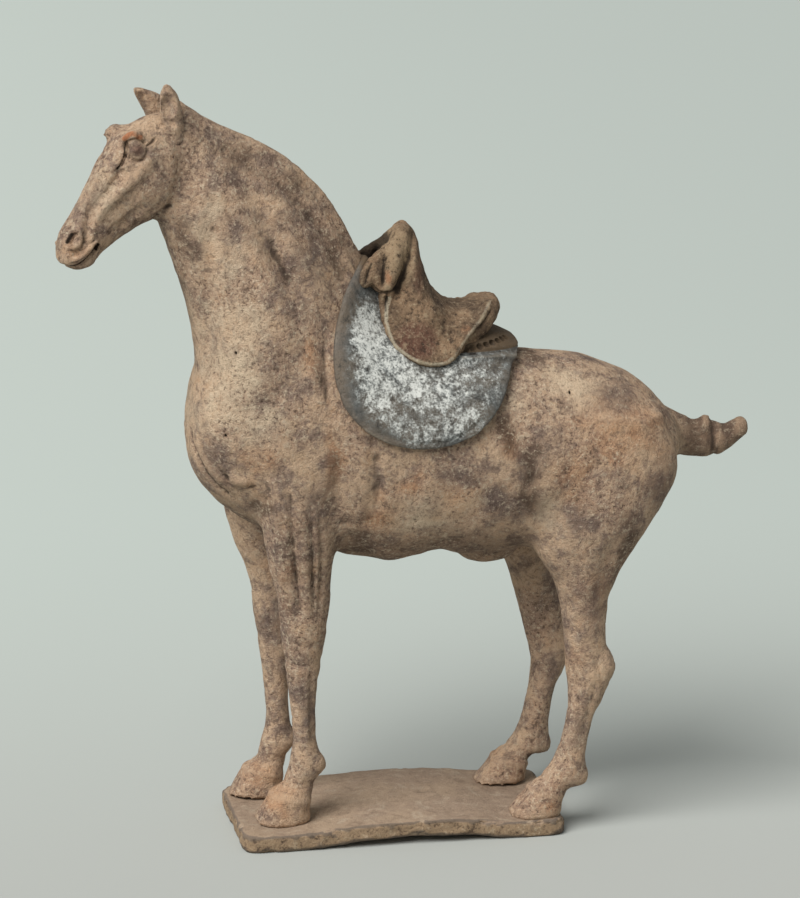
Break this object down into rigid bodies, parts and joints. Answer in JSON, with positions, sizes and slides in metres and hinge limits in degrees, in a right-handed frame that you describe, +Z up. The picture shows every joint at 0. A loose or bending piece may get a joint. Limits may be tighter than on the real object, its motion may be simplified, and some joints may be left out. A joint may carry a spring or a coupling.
{
  "type": "earthenware horse tomb figure",
  "caption": "Saddled earthenware horse standing on a thin slab plinth, its head turned to its left; a tomb figure that stands by its own weight.",
  "frame": {"origin": "under the middle of the whole figure, on the plane that the plinth's flat ends stand on", "axes": "+Z up; the horse faces -X and its left side faces -Y"},
  "size_m": [0.469, 0.1356, 0.5103],
  "materials": {
    "horse_clay": "unglazed pinkish-tan clay, matt and gritty, with soil and faded pigment",
    "cloth_clay": "unglazed clay with worn blue-grey pigment over white ground",
    "saddle_clay": "unglazed clay with worn brown and reddish pigment",
    "plinth_clay": "unglazed tan clay, matt and gritty"
  },
  "bodies": {
    "root": {"horse": "horse_clay", "saddle_cloth": "cloth_clay", "saddle": "saddle_clay", "plinth": "plinth_clay"}
  },
  "joints": []
}
